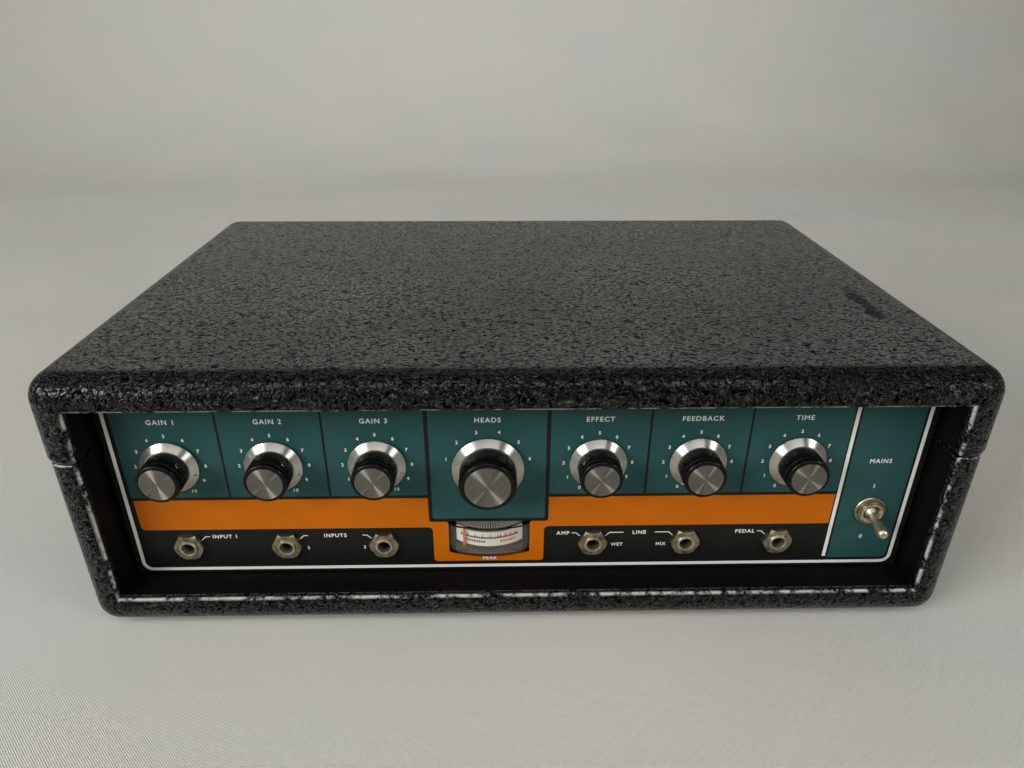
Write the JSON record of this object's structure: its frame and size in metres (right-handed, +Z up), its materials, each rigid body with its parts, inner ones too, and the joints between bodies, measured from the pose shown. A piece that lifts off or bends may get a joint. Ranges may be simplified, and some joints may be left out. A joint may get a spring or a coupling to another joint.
{
  "type": "tape echo unit",
  "caption": "Tape echo unit in a black covered case with a hinged lid, recessed panel of knobs, jacks, meter and power switch, and a tape loop deck inside.",
  "frame": {"origin": "under the middle of the whole object, on the surface that its feet stand on", "axes": "+X to the right as seen from the front, +Y to the back, +Z up; the panel faces -Y"},
  "size_m": [0.44, 0.289, 0.145],
  "materials": {
    "vinyl": "black grained vinyl cloth on wood",
    "rubber": "matt",
    "plated_steel": "zinc plated",
    "panel_print": "screen printed teal, orange and black",
    "nickel": "aged nickel plate",
    "aluminium": "spun",
    "black_plastic": "moulded",
    "clear_plastic": "clear moulded",
    "white_card": "printed card",
    "orange_plastic": "moulded",
    "lamination": "lacquered laminations",
    "board": "phenolic board",
    "brass": "turned",
    "tape_film": "oxide coated film"
  },
  "bodies": {
    "base": {"base_tray": "vinyl", "rubber_feet": "rubber", "base_wood_screws": "plated_steel", "base_hinge_leaves": "plated_steel", "hinge_pins": "plated_steel", "rear_plate": "plated_steel", "cord_gland": "black_plastic", "fuse_holder": "black_plastic", "chassis": "plated_steel", "case_screws": "plated_steel", "front_panel": "panel_print", "pot_housings": "plated_steel", "switch_housing": "plated_steel", "panel_nuts": "nickel", "jack_sockets": "nickel", "meter_case": "clear_plastic", "meter_scale": "white_card", "meter_movement": "black_plastic", "toggle_housing": "nickel", "toggle_nut": "nickel", "transformer": "lamination", "circuit_board": "board", "motor_housing": "plated_steel", "deck_plate": "plated_steel", "deck_posts": "plated_steel", "erase_head": "black_plastic", "record_head": "aluminium", "play_heads": "aluminium", "roller_posts": "plated_steel", "capstan_bearing": "brass", "thrust_bracket": "plated_steel", "tape_loop": "tape_film", "drive_belt": "rubber", "pinch_spring": "plated_steel"},
    "lid": {"lid": "vinyl", "lid_hinge_leaves": "plated_steel", "lid_wood_screws": "plated_steel"},
    "input_1_control": {"input_1_knob": "black_plastic", "input_1_spindle": "aluminium"},
    "input_2_control": {"input_2_knob": "black_plastic", "input_2_spindle": "aluminium"},
    "input_3_control": {"input_3_knob": "black_plastic", "input_3_spindle": "aluminium"},
    "volume_control": {"volume_knob": "black_plastic", "volume_spindle": "aluminium"},
    "repeat_control": {"repeat_knob": "black_plastic", "repeat_spindle": "aluminium"},
    "delay_control": {"delay_knob": "black_plastic", "delay_spindle": "aluminium"},
    "mode_control": {"mode_knob": "black_plastic", "mode_spindle": "aluminium"},
    "power_lever": {"toggle_lever": "nickel"},
    "needle": {"meter_needle": "orange_plastic"},
    "flywheel": {"flywheel": "plated_steel"},
    "motor_pulley": {"motor_pulley": "brass"},
    "pinch_arm": {"pinch_arm": "plated_steel"},
    "pinch_roller": {"pinch_roller": "rubber"},
    "guide_roller_left": {"guide_roller_left": "aluminium"},
    "guide_roller_right": {"guide_roller_right": "aluminium"},
    "guide_roller_rear": {"guide_roller_rear": "aluminium"}
  },
  "joints": [
    {"name": "lid_hinge", "type": "hinge", "parent": "base", "child": "lid", "pos_m": [0, 0.1415, 0.102], "axis": [-1, 0, 0], "range_deg": [0, 100]},
    {"name": "input_1_turn", "type": "hinge", "parent": "base", "child": "input_1_control", "pos_m": [-0.1704, -0.1249, 0.0888], "axis": [0, 1, 0], "range_deg": [-255, 45]},
    {"name": "input_2_turn", "type": "hinge", "parent": "base", "child": "input_2_control", "pos_m": [-0.1204, -0.1249, 0.0888], "axis": [0, 1, 0], "range_deg": [-255, 45]},
    {"name": "input_3_turn", "type": "hinge", "parent": "base", "child": "input_3_control", "pos_m": [-0.0704, -0.1249, 0.0888], "axis": [0, 1, 0], "range_deg": [-255, 45]},
    {"name": "volume_turn", "type": "hinge", "parent": "base", "child": "volume_control", "pos_m": [0.0377, -0.1249, 0.0888], "axis": [0, 1, 0], "range_deg": [0, 300]},
    {"name": "repeat_turn", "type": "hinge", "parent": "base", "child": "repeat_control", "pos_m": [0.0869, -0.1249, 0.0888], "axis": [0, 1, 0], "range_deg": [0, 300]},
    {"name": "delay_turn", "type": "hinge", "parent": "base", "child": "delay_control", "pos_m": [0.1361, -0.1249, 0.0888], "axis": [0, 1, 0], "range_deg": [0, 300]},
    {"name": "mode_turn", "type": "hinge", "parent": "base", "child": "mode_control", "pos_m": [-0.0163, -0.1249, 0.086], "axis": [0, 1, 0], "range_deg": [0, 150]},
    {"name": "power_toggle", "type": "hinge", "parent": "base", "child": "power_lever", "pos_m": [0.1794, -0.1254, 0.0583], "axis": [-1, 0, 0], "range_deg": [0, 22]},
    {"name": "needle_swing", "type": "hinge", "parent": "base", "child": "needle", "pos_m": [-0.0161, -0.1009, 0.045], "axis": [0, 0, 1], "range_deg": [0, 54]},
    {"name": "capstan_spin", "type": "hinge", "parent": "base", "child": "flywheel", "pos_m": [0.095, -0.047, 0.075], "axis": [0, 0, 1], "continuous": true},
    {"name": "motor_spin", "type": "hinge", "parent": "base", "child": "motor_pulley", "pos_m": [0.13, 0.055, 0.075], "axis": [0, 0, 1], "continuous": true},
    {"name": "pinch_arm_swing", "type": "hinge", "parent": "base", "child": "pinch_arm", "pos_m": [0.125, -0.0629, 0.091], "axis": [0, 0, 1], "range_deg": [0, 15], "stiffness_Nm_per_rad": 0.2, "springref_deg": -11.46},
    {"name": "pinch_spin", "type": "hinge", "parent": "pinch_arm", "child": "pinch_roller", "pos_m": [0.095, -0.0629, 0.1], "axis": [0, 0, 1], "continuous": true},
    {"name": "guide_roller_left_spin", "type": "hinge", "parent": "base", "child": "guide_roller_left", "pos_m": [-0.15, -0.04, 0.1], "axis": [0, 0, 1], "continuous": true},
    {"name": "guide_roller_right_spin", "type": "hinge", "parent": "base", "child": "guide_roller_right", "pos_m": [0.15, -0.04, 0.1], "axis": [0, 0, 1], "continuous": true},
    {"name": "guide_roller_rear_spin", "type": "hinge", "parent": "base", "child": "guide_roller_rear", "pos_m": [0, 0.085, 0.1], "axis": [0, 0, 1], "continuous": true}
  ],
  "couplings": [
    {"joint": "motor_spin", "follows": "capstan_spin", "ratio": 4.75},
    {"joint": "pinch_spin", "follows": "capstan_spin", "ratio": -0.25},
    {"joint": "guide_roller_left_spin", "follows": "capstan_spin", "ratio": 0.3},
    {"joint": "guide_roller_right_spin", "follows": "capstan_spin", "ratio": 0.3},
    {"joint": "guide_roller_rear_spin", "follows": "capstan_spin", "ratio": 0.3}
  ]
}
